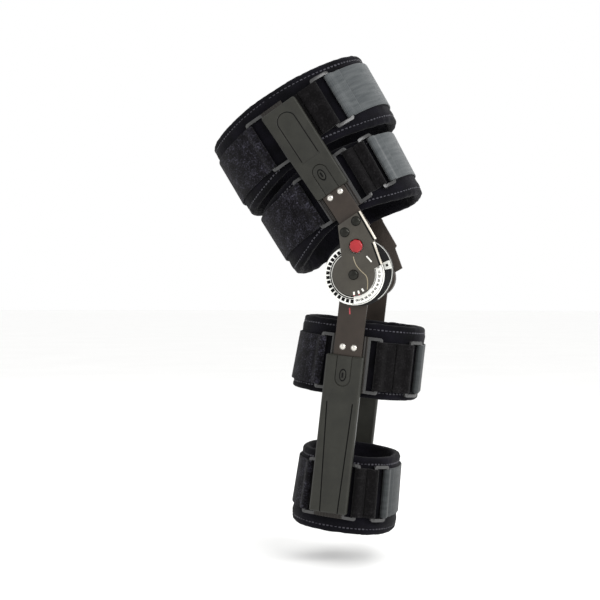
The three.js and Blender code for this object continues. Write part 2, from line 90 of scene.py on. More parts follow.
def pick(obj, test, kind="FACE"):  # enters edit mode with the faces or edges that pass the test selected
    use(obj)
    bpy.ops.object.mode_set(mode="EDIT")
    bpy.ops.mesh.select_mode(type=kind)
    bpy.ops.mesh.select_all(action="DESELECT")
    bpy.ops.object.mode_set(mode="OBJECT")
    for part in obj.data.polygons if kind == "FACE" else obj.data.edges:
        part.select = test(part)
    bpy.ops.object.mode_set(mode="EDIT")


def applyModifier(obj, kind, **settings):
    use(obj)
    modifier = obj.modifiers.new(kind.lower(), kind)
    for name, value in settings.items():
        setattr(modifier, name, value)
    bpy.ops.object.modifier_apply(modifier=modifier.name)


def roundEdges(obj, width, segments=2, angle=40):
    applyModifier(obj, "BEVEL", width=width, segments=segments, limit_method="ANGLE",
                  angle_limit=math.radians(angle))


def smooth(obj, angle=40):
    use(obj)
    bpy.ops.object.shade_smooth_by_angle(angle=math.radians(angle))


def joined(pieces):
    deselectAll()
    for piece in pieces:
        piece.select_set(True)
    bpy.context.view_layer.objects.active = pieces[0]
    bpy.ops.object.join()
    return pieces[0]


def copied(obj):
    deselectAll()
    twin = obj.copy()
    twin.data = obj.data.copy()
    bpy.context.scene.collection.objects.link(twin)
    return twin


def block(x0, x1, y0, y1, z0, z1):
    deselectAll()
    bpy.ops.mesh.primitive_cube_add(size=1, location=((x0 + x1) / 2, (y0 + y1) / 2, (z0 + z1) / 2))
    obj = bpy.context.active_object
    obj.scale = (x1 - x0, y1 - y0, z1 - z0)
    bpy.ops.object.transform_apply(location=True, rotation=True, scale=True)
    return obj


def benchUv(obj):  # the weave follows the strip as it lay on the bench, in millimetres
    layer = obj.data.uv_layers.active or obj.data.uv_layers.new(name="weave")
    for loop in obj.data.loops:
        layer.data[loop.index].uv = obj.data.vertices[loop.vertex_index].co.xy


def edgeStep(obj, edge):  # from one end of an edge to the other
    start, end = (obj.data.vertices[k].co for k in edge.vertices)
    return end - start


def onFace(obj, face, sink=0.0):  # from the bench to a face of the outer side, some way into it
    use(obj)
    bpy.ops.object.transform_apply(location=True, rotation=True, scale=True)
    out = Matrix.Translation((0, 0, faces[face]["out"] - sink))
    obj.data.transform(halfTurn[faces[face]["half"]] @ toMetres @ standUp @ out)
    obj.data.update()


def finishPiece(obj, name, body, look=None, replaced=()):  # with no look it keeps the materials it has
    obj.name = obj.data.name = name
    if look:
        obj.data.materials.clear()
        obj.data.materials.append(materials[look])
    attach(obj, body)
    if replaced:
        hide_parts(*replaced)


# Materials

def linear(hexColour):
    parts = [int(hexColour[k:k + 2], 16) / 255 for k in (1, 3, 5)]
    return [c / 12.92 if c <= 0.04045 else ((c + 0.055) / 1.055) ** 2.4 for c in parts] + [1]


def setNode(tree, node, settings, links):  # capitals and numbers name sockets, stops fill a ramp
    for name, value in settings.items():
        if name == "stops":
            elements = node.color_ramp.elements
            while len(elements) < len(value):
                elements.new(0.5)
            for element, (place, colour) in zip(elements, value):
                element.position, element.color = place, linear(colour)
        elif isinstance(name, int) or name[0].isupper():
            node.inputs[name].default_value = value
        else:
            setattr(node, name, value)
    for name, source in links.items():
        tree.links.new(source, node.inputs[name])
    return node


def addNode(tree, kind, settings, links):
    return setNode(tree, tree.nodes.new(kind), settings, links)


def newMaterial(name):
    material = bpy.data.materials.new(name)
    material.use_nodes = True
    return material, material.node_tree, material.node_tree.nodes["Principled BSDF"]


def brushedLoop(name, shades):  # nylon loop fabric: a raised, matted pile with paler fibre tips, no gloss
    pile, matting, depth = 1.8, 9.0, 0.7  # mm; the real pile is finer, drawn as coarse as it needs to show
    material, tree, shader = newMaterial(name)
    strip = addNode(tree, "ShaderNodeTexCoord", {}, {}).outputs["UV"]
    fine = addNode(tree, "ShaderNodeTexNoise", {"Scale": 1 / pile, "Detail": 5, "Roughness": 0.7},
                   {"Vector": strip})
    mats = addNode(tree, "ShaderNodeTexNoise", {"Scale": 1 / matting, "Detail": 3}, {"Vector": strip})
    both = addNode(tree, "ShaderNodeMix", {"Factor": 0.3},
                   {"A": fine.outputs["Fac"], "B": mats.outputs["Fac"]})
    ramp = addNode(tree, "ShaderNodeValToRGB", {"stops": list(zip((0.4, 0.5, 0.57, 0.66), shades))},
                   {"Fac": both.outputs["Result"]})
    bump = addNode(tree, "ShaderNodeBump", {"Strength": 0.8, "Distance": depth * mm},
                   {"Height": fine.outputs["Fac"]})
    setNode(tree, shader, {"Roughness": 0.95, "Sheen Weight": 0.06, "Sheen Roughness": 0.5,
                           "Specular IOR Level": 0.06},
            {"Base Color": ramp.outputs["Color"], "Normal": bump.outputs["Normal"]})
    return material


def foamKnit(name):  # polyester knit laminated on foam: fine stitches, dull, with a faint violet cast
    stitch, patch, depth = 1.1, 22.0, 0.4  # mm; the real stitch is finer, drawn as coarse as it needs to show
    material, tree, shader = newMaterial(name)
    place = addNode(tree, "ShaderNodeTexCoord", {}, {}).outputs["Object"]
    knit = addNode(tree, "ShaderNodeTexVoronoi", {"Scale": metre / stitch}, {"Vector": place})
    patches = addNode(tree, "ShaderNodeTexNoise", {"Scale": metre / patch, "Detail": 4}, {"Vector": place})
    ramp = addNode(tree, "ShaderNodeValToRGB", {"stops": [(0.35, "#060608"), (0.65, "#0e0d13")]},
                   {"Fac": patches.outputs["Fac"]})
    bump = addNode(tree, "ShaderNodeBump", {"Strength": 0.5, "Distance": depth * mm, "invert": True},
                   {"Height": knit.outputs["Distance"]})
    setNode(tree, shader, {"Roughness": 0.9, "Sheen Weight": 0.04, "Sheen Roughness": 0.5,
                           "Specular IOR Level": 0.05},
            {"Base Color": ramp.outputs["Color"], "Normal": bump.outputs["Normal"]})
    return material


def greyWebbing(name, dark, pale):  # woven nylon webbing: flat, close ribs across the strap, dull and even
    rib, yarn, streak, depth = 1.6, 1.1, 3.5, 0.3  # mm; the weave is drawn as coarse as it needs to show
    wave = 0.314  # length of a wave texture's band at scale 1
    material, tree, shader = newMaterial(name)
    strip = addNode(tree, "ShaderNodeTexCoord", {}, {}).outputs["UV"]
    across = addNode(tree, "ShaderNodeTexWave", {"Scale": wave / rib, "bands_direction": "X"},
                     {"Vector": strip})
    along = addNode(tree, "ShaderNodeTexWave", {"Scale": wave / yarn, "bands_direction": "Y"},
                    {"Vector": strip})
    weave = addNode(tree, "ShaderNodeMath", {"operation": "MULTIPLY"},
                    {0: across.outputs["Fac"], 1: along.outputs["Fac"]})
    # streaks run along the strap, about eight times as long as they are wide
    stretch = addNode(tree, "ShaderNodeMapping", {"Scale": (0.12, 1, 1)}, {"Vector": strip})
    streaks = addNode(tree, "ShaderNodeTexNoise", {"Scale": 1 / streak, "Detail": 4},
                      {"Vector": stretch.outputs["Vector"]})
    blend = addNode(tree, "ShaderNodeMath", {"operation": "MULTIPLY_ADD", 1: 0.35},
                    {0: weave.outputs[0], 2: streaks.outputs["Fac"]})
    ramp = addNode(tree, "ShaderNodeValToRGB", {"stops": [(0.35, dark), (0.85, pale)]},
                   {"Fac": blend.outputs[0]})
    bump = addNode(tree, "ShaderNodeBump", {"Strength": 0.5, "Distance": depth * mm},
                   {"Height": weave.outputs[0]})
    setNode(tree, shader, {"Roughness": 0.72, "Sheen Weight": 0.08, "Specular IOR Level": 0.2},
            {"Base Color": ramp.outputs["Color"], "Normal": bump.outputs["Normal"]})
    return material


# A moulded, coated, printed or anodised surface: fine grain, slow change of tone and gloss; sizes in mm
def grained(name, dark, pale, grain, depth, roughness, patch=18.0, metallic=0.0, specular=0.5):
    material, tree, shader = newMaterial(name)
    place = addNode(tree, "ShaderNodeTexCoord", {}, {}).outputs["Object"]
    fine = addNode(tree, "ShaderNodeTexNoise", {"Scale": metre / grain, "Detail": 3}, {"Vector": place})
    tone = addNode(tree, "ShaderNodeTexNoise", {"Scale": metre / patch, "Detail": 5, "Roughness": 0.6},
                   {"Vector": place})
    ramp = addNode(tree, "ShaderNodeValToRGB", {"stops": [(0.3, dark), (0.7, pale)]},
                   {"Fac": tone.outputs["Fac"]})
    gloss = addNode(tree, "ShaderNodeMapRange", {"To Min": roughness[0], "To Max": roughness[1]},
                    {"Value": tone.outputs["Fac"]})
    bump = addNode(tree, "ShaderNodeBump", {"Strength": 0.35, "Distance": depth * mm},
                   {"Height": fine.outputs["Fac"]})
    setNode(tree, shader, {"Metallic": metallic, "Specular IOR Level": specular},
            {"Base Color": ramp.outputs["Color"], "Roughness": gloss.outputs["Result"],
             "Normal": bump.outputs["Normal"]})
    return material


materials = {
    # nylon loop: hazy and blue black, with paler speckle, on the rear straps; blacker on the side straps
    "loopFabric": brushedLoop("hazy_nylon_loop", ("#080709", "#0f0e11", "#26252c", "#464550")),
    "blackerLoop": brushedLoop("blacker_nylon_loop", ("#060506", "#0a090a", "#121112", "#222022")),
    "foam": foamKnit("foam_backed_knit"),
    # spun polyester thread: matt, a shade paler than the knit that it sews
    "thread": grained("polyester_thread", "#201f26", "#302f38", 0.4, 0.05, (0.6, 0.7)),
    # nylon webbing, mid grey above the hinge; below it the same webbing darkened to charcoal, painted shade
    "webbing": greyWebbing("woven_nylon_webbing", "#383c3e", "#505354"),
    "shadedWebbing": greyWebbing("woven_nylon_webbing_painted_shade", "#232627", "#353839"),
    # glass-filled nylon, moulded with a fine spark texture: olive charcoal and satin
    "sleeve": grained("moulded_glass_filled_nylon", "#1f1f1b", "#282823", 0.7, 0.05, (0.38, 0.52),
                      specular=0.25),
    # anodised aluminium strip: warm brown grey with a soft metal gloss
    "bar": grained("anodised_aluminium_brown", "#2a241f", "#342c26", 0.5, 0.02, (0.36, 0.5), metallic=0.5),
    # powder-coated steel plate: olive grey, faintly pebbled
    "arm": grained("powder_coated_steel_olive", "#322e28", "#3d3a32", 0.8, 0.05, (0.34, 0.48), metallic=0.25),
    # sheared steel edge, left bare: pale and bright
    "bareEdge": grained("bare_sheared_steel", "#c9c2b4", "#efe9dc", 0.4, 0.03, (0.25, 0.4), metallic=0.7),
    # moulded nylon plates: brown black and dull
    "bracket": grained("moulded_nylon_brown", "#1c1917", "#282420", 0.6, 0.04, (0.45, 0.6), specular=0.3),
    # moulded acetal: dark grey and slick, with a glint along the round bars
    "loop": grained("acetal_loops_grey", "#262626", "#3a3a3a", 0.5, 0.03, (0.14, 0.24)),
    # moulded ABS: near black and even, with little shine
    "housing": grained("moulded_abs_black", "#070708", "#0e0e0f", 0.6, 0.04, (0.35, 0.5), specular=0.2),
    # acetal disc: clean white and satin, a ground for the printing
    "dial": grained("printed_acetal_white", "#d9d9d3", "#efefea", 0.5, 0.02, (0.4, 0.5)),
    # pad-printed inks: flat colour without grain, duller than what they lie on; the black one also lays
    # painted shade on the arm and the sleeves
    "inkAndPaintedShade": grained("black_ink_and_painted_shade", "#060606", "#0d0d0d", 0.5, 0.01, (0.6, 0.7), specular=0.1),
    "whiteInk": grained("white_printing_ink", "#cfcec8", "#e9e8e2", 0.5, 0.01, (0.5, 0.6)),
    "tanInk": grained("tan_printing_ink", "#7d735c", "#938872", 0.5, 0.01, (0.5, 0.6)),
    "redInk": grained("red_printing_ink", "#8d2b2f", "#b04048", 0.5, 0.01, (0.5, 0.6)),
    # polished steel: small rivets that shine nearly white
    "bright": grained("polished_steel", "#bdbab4", "#dad7d0", 0.5, 0.01, (0.18, 0.3), metallic=1.0),
    # black oxide on steel: near black, with tight highlights on the domes
    "dark": grained("black_oxide_steel", "#191916", "#2b2b27", 0.5, 0.02, (0.2, 0.32), metallic=0.8),
    # moulded ABS: deep red with glossy facets, and a pale satin grey, which also paints a highlight along the
    # housing's rim
    "red": grained("moulded_abs_red", "#7f0e15", "#9b1820", 0.6, 0.03, (0.22, 0.34)),
    "grey": grained("light_grey_abs_and_painted_highlight", "#b4b5b0", "#d0d1cc", 0.6, 0.03, (0.35, 0.5)),
}
print("materials made:", len(materials))


# Hard pieces that keep the shape of their solid: a copy with broken edges and smooth rounds

solidSettings = {  # node: body, slot, material, edge radius in mm
    "hinge_arm": ("upper_hinge", "arm_metal", "arm", 0.45),
    "dial": ("upper_hinge", "dial_plastic", "dial", 0.3),
    "hinge_housing": ("upper_hinge", "housing_plastic", "housing", 0.5),
    "flexion_stop": ("stop", "grey_plastic", "grey", 0.35),
    "lock_button": ("lock", "red_plastic", "red", 1.6),
    "pivot": ("upper_hinge", "dark_steel", "dark", 0.2),
    "upper_bar": ("upper_hinge", "bar_metal", "bar", 0.5),
    "lower_bar": ("lower_hinge", "bar_metal", "bar", 0.5),
    "medial_upper_bar": ("upper_hinge", "bar_metal", "bar", 0.5),
    "medial_spacer": ("upper_hinge", "housing_plastic", "housing", 0.4),
    "medial_pivot": ("upper_hinge", "dark_steel", "dark", 0.2),
    "medial_lower_bar": ("lower_hinge", "bar_metal", "bar", 0.5),
    "upper_sleeve": ("thigh_frame", "sleeve_plastic", "sleeve", 0.6),
    "upper_latch": ("upper_latch_button", "sleeve_plastic", "sleeve", 0.25),
    "medial_upper_sleeve": ("thigh_frame", "sleeve_plastic", "sleeve", 0.5),
    "lower_sleeve": ("calf_frame", "sleeve_plastic", "sleeve", 0.5),
    "lower_latch": ("lower_latch_button", "sleeve_plastic", "sleeve", 0.25),
    "medial_lower_sleeve": ("calf_frame", "sleeve_plastic", "sleeve", 0.5),
}
edgeAngles = {"rounded": 35, "facet": 60, "facetRim": 25}  # edges sharper than this are broken, in degrees
facetRim = 0.15  # how far a facet's own rim is broken, as a share of the facet
weld = {"gap": 0.004, "flat": 1.5}  # mm and degrees, to merge a solid's loose triangles


def solidCopy(node):
    deselectAll()
    obj = bpy.data.objects.new(node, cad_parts[node].data.copy())
    bpy.context.scene.collection.objects.link(obj)
    use(obj)
    bpy.ops.object.mode_set(mode="EDIT")
    bpy.ops.mesh.select_all(action="SELECT")
    bpy.ops.mesh.remove_doubles(threshold=weld["gap"] * mm)
    bpy.ops.mesh.dissolve_limited(angle_limit=math.radians(weld["flat"]))
    bpy.ops.object.mode_set(mode="OBJECT")
    return obj


for node, (body, slot, look, radius) in solidSettings.items():
    obj = solidCopy(node)
    if node == "lock_button":  # wide flat facets round the top
        roundEdges(obj, radius * mm, 1, edgeAngles["facet"])
        roundEdges(obj, radius * facetRim * mm, 1, edgeAngles["facetRim"])
    else:
        roundEdges(obj, radius * mm, 2, edgeAngles["rounded"])
        smooth(obj, edgeAngles["rounded"])
    finishPiece(obj, node + "_finished", body, look, [node])
print("hard pieces finished:", len(solidSettings))


# Rivets: a low dome on a thin collar, modelled once for each size

rivetSettings = {
    "dark": {"radius": 5.0, "rise": 2.2, "collar": 0.35, "slot": "dark_steel"},
    "bright": {"radius": 3.1, "rise": 1.7, "collar": 0.3, "slot": "bright_steel"},
    "cut": 0.05, "dome": 0.92, "seat": 0.1,  # height of the ball's cut, dome's share, gap underneath
    "places": [  # node, face, x, y, look
        ("arm_rivet_front", "arm", 31.7, 43.5, "dark"),
        ("arm_rivet_rear", "arm", 16, 40.5, "dark"),
        ("upper_bar_rivet_front", "upperBar", 34.6, 78.2, "bright"),
        ("upper_bar_rivet_rear", "upperBar", 22.4, 78.2, "bright"),
        ("lower_bar_rivet_front", "lowerBar", 6.4, -73.5, "bright"),
        ("lower_bar_rivet_rear", "lowerBar", -5.2, -73.5, "bright"),
    ],
}


def rivetHead(radius, rise, collar):
    dome = rivetSettings["dome"]
    deselectAll()
    bpy.ops.mesh.primitive_uv_sphere_add(segments=32, ring_count=16, radius=1)
    obj = bpy.context.active_object
    bpy.ops.object.mode_set(mode="EDIT")
    bpy.ops.mesh.select_all(action="SELECT")
    bpy.ops.mesh.bisect(plane_co=(0, 0, rivetSettings["cut"]), plane_no=(0, 0, 1), use_fill=True,
                        clear_inner=True)
    bpy.ops.mesh.select_all(action="SELECT")
    bpy.ops.transform.resize(value=(radius * dome, radius * dome, rise - collar))
    bpy.ops.object.mode_set(mode="OBJECT")
    pick(obj, lambda face: face.normal.z < -0.9)
    bpy.ops.mesh.extrude_region_move(TRANSFORM_OT_translate={"value": (0, 0, 0)})
    bpy.ops.transform.resize(value=(1 / dome, 1 / dome, 1))
    bpy.ops.mesh.extrude_region_move(TRANSFORM_OT_translate={"value": (0, 0, -collar)})
    bpy.ops.object.mode_set(mode="OBJECT")
    lowest = min(vertex.co.z for vertex in obj.data.vertices)
    obj.data.transform(Matrix.Translation((0, 0, rivetSettings["seat"] - lowest)))
    smooth(obj, 45)
    return obj


for look in ("dark", "bright"):
    settings = rivetSettings[look]
    master = rivetHead(settings["radius"], settings["rise"], settings["collar"])
    for node, face, x, y, metal in rivetSettings["places"]:
        if metal == look:
            rivet = copied(master)
            rivet.location = (x, y, 0)
            onFace(rivet, face)
            finishPiece(rivet, node + "_head", faces[face]["body"], look, [node])
    bpy.data.objects.remove(master)
print("rivets set:", len(rivetSettings["places"]))


# Hinge trim: printing on the dial, marks and a bare edge on the arm with painted shade beside it, and a pale
# rim on the housing that is a painted highlight

trimSettings = {
    "thick": 0.16, "sink": 0.04, "round": 0.3,  # of every mark, how far it goes into its face, its edges
    "windows": {"first": 72, "last": 232, "pitch": 10, "inner": 24.9, "outer": 28.6, "wide": 3.3},
    "numerals": {"first": -17, "pitch": -9.8, "count": 11, "step": 10, "radius": 25.6,
                 "size": 3.1, "bold": 0.09},
    "rings": [  # name, inner, outer, from and to in degrees, look, added thickness
        ("dial_black_ring", 20.5, 24.5, 64, 236, "inkAndPaintedShade", 0),
        ("dial_scale_line", 29.2, 29.6, -128, -8, "inkAndPaintedShade", 0),
        ("dial_inner_line", 22.0, 22.5, -70, -18, "inkAndPaintedShade", 0),
        ("dial_white_arc", 22.5, 23.3, 78, 236, "whiteInk", 0.1),  # lies on the black ring
    ],
    # rim: a pale ring on the lit side of the housing's edge, a painted highlight
    "rim": {"inner": 33.5, "outer": 34.1, "from": -88, "to": 62, "centre": (5.2, 0.5)},
    "engraving": {"wide": 0.9, "points": [(9.9, 15.3), (7.2, 9), (8.2, -1), (11.2, -11), (3.4, -19.9)]},
    "ticks": {"wide": 1.8, "rows": [(17.0, 20.2, -122), (16.6, 19.8, -107), (16.2, 19.4, -92)]},
    "redTicks": {"wide": 1.4, "rows": [(20.4, 21.3, -122), (20.2, 21.2, -107)]},  # inner, outer, degrees
    "whiteLine": {"wide": 1.4, "ends": [(21.2, 8.2), (22.3, 0.5)]},
    "pointer": {"wide": 1.3, "ends": [(-2.6, -33.5), (-1.6, -40)]},
    # edge: bare edges of the arm, and beside each a dark strip of painted shade (gap, gapWide)
    "edge": {"lines": [[(29.3, -7), (34.9, 16.2)], [(38, 17.6), (40.1, 49.8)]],
             "wide": 1.7, "rise": 0.15, "deep": 3.8, "gap": 1.9, "gapWide": 1.5},
    "stopSquare": {"inner": 33.3, "outer": 35.9, "angle": -17.5, "wide": 2.6},
    "recess": {"centre": (28.4, 167.5), "radius": 10.3, "foot": 124, "wide": 0.9},
    "grooves": {"wide": 1.1, "lines": [[(-14.7, -130), (-9.5, -242.6)], [(11.7, -130), (8.5, -242.6)]]},
    "latches": {"upper": (28.4, 102), "lower": (-1.5, -102)},
    "latchRing": {"inner": 2.9, "outer": 3.7, "stretch": 1.75, "slot": 2.6, "slotWide": 1.8, "rise": 1.6},
}


def ringPart(inner, outer, start, end, thick):
    deselectAll()
    bpy.ops.mesh.primitive_circle_add(vertices=240, radius=inner)
    obj = bpy.context.active_object
    bpy.ops.object.mode_set(mode="EDIT")
    bpy.ops.mesh.select_mode(type="EDGE")
    bpy.ops.mesh.select_all(action="SELECT")
    bpy.ops.mesh.extrude_region_move(TRANSFORM_OT_translate={"value": (0, 0, 0)})
    bpy.ops.transform.resize(value=(outer / inner, outer / inner, 1))
    bpy.ops.object.mode_set(mode="OBJECT")

    def outside(face):
        return (math.degrees(math.atan2(face.center.y, face.center.x)) - start) % 360 > end - start

    pick(obj, outside)
    bpy.ops.mesh.delete(type="FACE")
    bpy.ops.mesh.select_all(action="SELECT")
    bpy.ops.mesh.extrude_region_move(TRANSFORM_OT_translate={"value": (0, 0, thick)})
    bpy.ops.mesh.select_all(action="SELECT")
    bpy.ops.mesh.normals_make_consistent(inside=False)
    bpy.ops.object.mode_set(mode="OBJECT")
    return obj


def bar(start, end, wide, low=0, high=trimSettings["thick"]):  # a straight mark between two points
    start, end = Vector(start), Vector(end)
    obj = block(0, (end - start).length, -wide / 2, wide / 2, low, high)
    roundEdges(obj, min(trimSettings["round"], wide / 5), 2)
    obj.location = (start.x, start.y, 0)
    obj.rotation_euler.z = math.atan2(end.y - start.y, end.x - start.x)
    return obj


def onRay(obj, radius, angle, lift=0.0, lean=0.0):  # turned about the hinge and set that far out
    turn = math.radians(angle)
    obj.location = (radius * math.cos(turn), radius * math.sin(turn), lift)
    obj.rotation_euler.z = turn + math.radians(lean)
    return obj


def rayBars(rows, wide):
    return [onRay(bar((0, 0), (outer - inner, 0), wide), inner, angle) for inner, outer, angle in rows]


def numeral(number, size, bold, thick):
    deselectAll()
    bpy.ops.object.text_add()
    obj = bpy.context.active_object
    obj.data.body, obj.data.size, obj.data.extrude, obj.data.offset = str(number), size, thick / 2, bold
    obj.data.align_x, obj.data.align_y, obj.data.resolution_u = "CENTER", "CENTER", 2
    bpy.ops.object.convert(target="MESH")
    return bpy.context.active_object


def drawnLine(points, wide, thick):
    deselectAll()
    bpy.ops.curve.primitive_nurbs_path_add()
    obj = bpy.context.active_object
    path = obj.data.splines[0]
    path.order_u = 3
    for point, (x, y) in zip(path.points, points):
        point.co = (x, y, 0, 1)
    obj.data.bevel_depth, obj.data.bevel_resolution, obj.data.use_fill_caps = wide / 2, 2, True
    bpy.ops.object.convert(target="MESH")
    obj = bpy.context.active_object
    obj.scale.z = 2 * thick / wide
    return obj


def setTrim(obj, name, face, look):
    onFace(obj, face, trimSettings["sink"])
    smooth(obj, 35)
    finishPiece(obj, name, faces[face]["body"], look)


def makeDialPrinting():
    thick = trimSettings["thick"]
    for name, inner, outer, start, end, look, added in trimSettings["rings"]:
        setTrim(ringPart(inner, outer, start, end, thick + added), name, "dial", look)
    row = trimSettings["windows"]
    master = bar((0, 0), (row["outer"] - row["inner"], 0), row["wide"])
    windows = [onRay(copied(master), row["inner"], angle)
               for angle in range(row["first"], row["last"] + 1, row["pitch"])]
    bpy.data.objects.remove(master)
    setTrim(joined(windows), "dial_windows", "dial", "inkAndPaintedShade")
    row = trimSettings["numerals"]
    numbers = [onRay(numeral(row["step"] * k, row["size"], row["bold"], thick), row["radius"],
                     row["first"] + row["pitch"] * k, thick / 2, -90) for k in range(row["count"])]
    setTrim(joined(numbers), "dial_numerals", "dial", "inkAndPaintedShade")


def makeHingeMarks():
    thick = trimSettings["thick"]
    line = trimSettings["engraving"]
    setTrim(drawnLine(line["points"], line["wide"], thick), "arm_engraved_line", "arm", "tanInk")
    marks = rayBars(**trimSettings["ticks"])
    marks.append(bar(*trimSettings["whiteLine"]["ends"], trimSettings["whiteLine"]["wide"]))
    setTrim(joined(marks), "arm_white_marks", "arm", "whiteInk")
    setTrim(joined(rayBars(**trimSettings["redTicks"])), "arm_red_marks", "arm", "redInk")
    edge = trimSettings["edge"]
    inside = Vector((edge["gap"], 0))
    strips, shadeStrips = [], []
    for start, end in edge["lines"]:
        strips.append(bar(start, end, edge["wide"], -edge["deep"], edge["rise"]))
        # beside each bare edge, a dark strip of painted shade
        shadeStrips.append(bar(Vector(start) - inside, Vector(end) - inside, edge["gapWide"]))
    setTrim(joined(strips), "arm_bare_edge", "arm", "bareEdge")
    setTrim(joined(shadeStrips), "arm_edge_groove_shade", "arm", "inkAndPaintedShade")

    # a painted highlight: a pale ring along the lit side of the housing's edge
    rim = trimSettings["rim"]
    ring = ringPart(rim["inner"], rim["outer"], rim["from"], rim["to"], thick)
    ring.location = (*rim["centre"], 0)
    setTrim(ring, "housing_rim_highlight", "housing", "grey")
    square = trimSettings["stopSquare"]
    mark = rayBars([(square["inner"], square["outer"], square["angle"])], square["wide"])[0]
    setTrim(mark, "stop_square", "stop", "dark")
    pointer = trimSettings["pointer"]
    setTrim(bar(*pointer["ends"], pointer["wide"]), "lower_bar_pointer", "lowerBar", "redInk")


def makeSleeveLines():  # painted shade: dark lines where shade falls in the cut-away recess and grooves of the moulded sleeves and round and across the latch buttons
    thick = trimSettings["thick"]
    recess = trimSettings["recess"]
    x, y = recess["centre"]
    wide = recess["wide"]
    reach = recess["radius"] - wide / 2
    arc = ringPart(recess["radius"] - wide, recess["radius"], 0, 180, thick)
    arc.location = (x, y, 0)
    sides = [bar((x + step, y), (x + step, recess["foot"]), wide) for step in (-reach, reach)]
    setTrim(joined([*sides, arc]), "upper_sleeve_shade", "upperSleeve", "inkAndPaintedShade")
    cuts = trimSettings["grooves"]
    lines = [bar(start, end, cuts["wide"]) for start, end in cuts["lines"]]
    setTrim(joined(lines), "lower_sleeve_shade", "lowerSleeve", "inkAndPaintedShade")
    ring = trimSettings["latchRing"]
    for name, (x, y) in trimSettings["latches"].items():
        foot = ringPart(ring["inner"], ring["outer"], -180, 180, thick)
        foot.scale.y = ring["stretch"]
        foot.location = (x, y, 0)
        slot = bar((x, y - ring["slot"]), (x, y + ring["slot"]), ring["slotWide"],
                   ring["rise"], ring["rise"] + thick)
        setTrim(joined([slot, foot]), name + "_latch_shade", name + "Latch", "inkAndPaintedShade")


makeDialPrinting()
makeHingeMarks()
makeSleeveLines()
print("hinge trim set")


# Cuffs: the oval that each one follows, with the source's sizes in millimetres

cuffs = [
    {"name": "upper_thigh", "half": "thigh", "body": "thigh_frame", "centre": 25, "deep": 90, "wide": 71,
     "low": (121, 118), "high": (206, 200), "lowArch": 10, "highArch": 5,
     "lowReach": (1.5, 2.6), "highReach": (-2, 8.4), "strapLow": 138, "leftLoop": -34, "leftWindow": 17,
     "rightLoop": None, "tuck": 8, "buckle": (41, 57)},
    {"name": "lower_thigh", "half": "thigh", "body": "thigh_frame", "centre": 19, "deep": 82.5, "wide": 71,
     "low": (40, 39), "high": (115, 113), "lowArch": 14, "highArch": 8,
     "lowReach": (-3.3, -3), "highReach": (-4.5, 4.6), "strapLow": 61, "leftLoop": -20, "leftWindow": 9.5,
     "rightLoop": 38, "tuck": None, "buckle": (55, 67)},
    {"name": "upper_calf", "half": "shank", "body": "calf_frame", "centre": 1.5, "deep": 68, "wide": 60.5,
     "low": (-124, -124), "high": (-46, -46), "lowArch": 0, "highArch": 0,
     "lowReach": (-1, -1), "highReach": (-7, -1), "strapLow": -115, "leftLoop": -31, "leftWindow": 7.5,
     "rightLoop": 30, "tuck": None, "buckle": (63, 78)},
    {"name": "lower_calf", "half": "shank", "body": "calf_frame", "centre": 5.5, "deep": 55.5, "wide": 60.5,
     "low": (-265, -265), "high": (-184, -184), "lowArch": 0, "highArch": 0,
     "lowReach": (0, -1), "highReach": (-4, -4), "strapLow": -245, "leftLoop": -34, "leftWindow": 7.5,
     "rightLoop": 19, "tuck": None, "buckle": (37, 51)},
]
ovalPower, archPower = 2.3, 6  # how square the oval is, how steep its arched rims
medialReach = 32  # from the inner side's middle to each strap loop there


def measureOval(cuff):
    steps, power = 1440, 2 / ovalPower
    points, arcs = [], [0.0]
    for k in range(steps + 1):
        turn = -math.pi / 2 + 2 * math.pi * k / steps
        across, sideways = math.cos(turn), math.sin(turn)
        points.append(Vector((cuff["centre"] + math.copysign(abs(across) ** power, across) * cuff["deep"],
                              math.copysign(abs(sideways) ** power, sideways) * cuff["wide"])))
    for before, after in zip(points, points[1:]):
        arcs.append(arcs[-1] + (after - before).length)
    cuff["points"], cuff["arcs"], cuff["length"] = points, arcs, arcs[-1]


# A point by its arc length from the outer side's middle, its lift off the pad and its height along the bar
def onCuff(cuff, arc, lift, height):
    wanted = arc % cuff["length"]
    k = max(1, bisect.bisect_left(cuff["arcs"], wanted))
    before, after = cuff["points"][k - 1], cuff["points"][k]
    along = (after - before).normalized()
    part = (wanted - cuff["arcs"][k - 1]) / (cuff["arcs"][k] - cuff["arcs"][k - 1])
    x, y = before.lerp(after, part) + Vector((along.y, -along.x)) * lift
    side = 1 if x > cuff["centre"] else 0
    up = (height - cuff["low"][side]) / (cuff["high"][side] - cuff["low"][side])
    reach = cuff["lowReach"][side] + (cuff["highReach"][side] - cuff["lowReach"][side]) * up
    x = cuff["centre"] + (x - cuff["centre"]) * (1 + reach / cuff["deep"])
    return halfTurn[cuff["half"]] @ Vector((x, y, height)) * mm


def wrapOnCuff(obj, cuff, route=None):
    use(obj)
    bpy.ops.object.transform_apply(location=True, rotation=True, scale=True)
    for vertex in obj.data.vertices:
        x, height, z = vertex.co
        arc, lift = route(x, z) if route else (x, z)
        vertex.co = onCuff(cuff, arc, lift, height)
    obj.data.update()


# Straps: a flat strip, bent round the bars of its loops and folded back on itself

strapSettings = {
    "width": 50, "lift": 0.4, "thick": {"loopFabric": 1.9, "webbing": 1.5}, "barLift": 4,
    "fold": {"loopFabric": 17, "webbing": 14}, "rise": 8, "plyGap": 0.1, "spare": 0.5, "tuckGap": 0.3,
    "stepAlong": 1.4, "stepAcross": 3, "edge": 0.45, "runStep": 1.5,
    "foldSteps": 8, "riseSteps": 12, "turnSteps": 16,  # points along each part of an eye
}


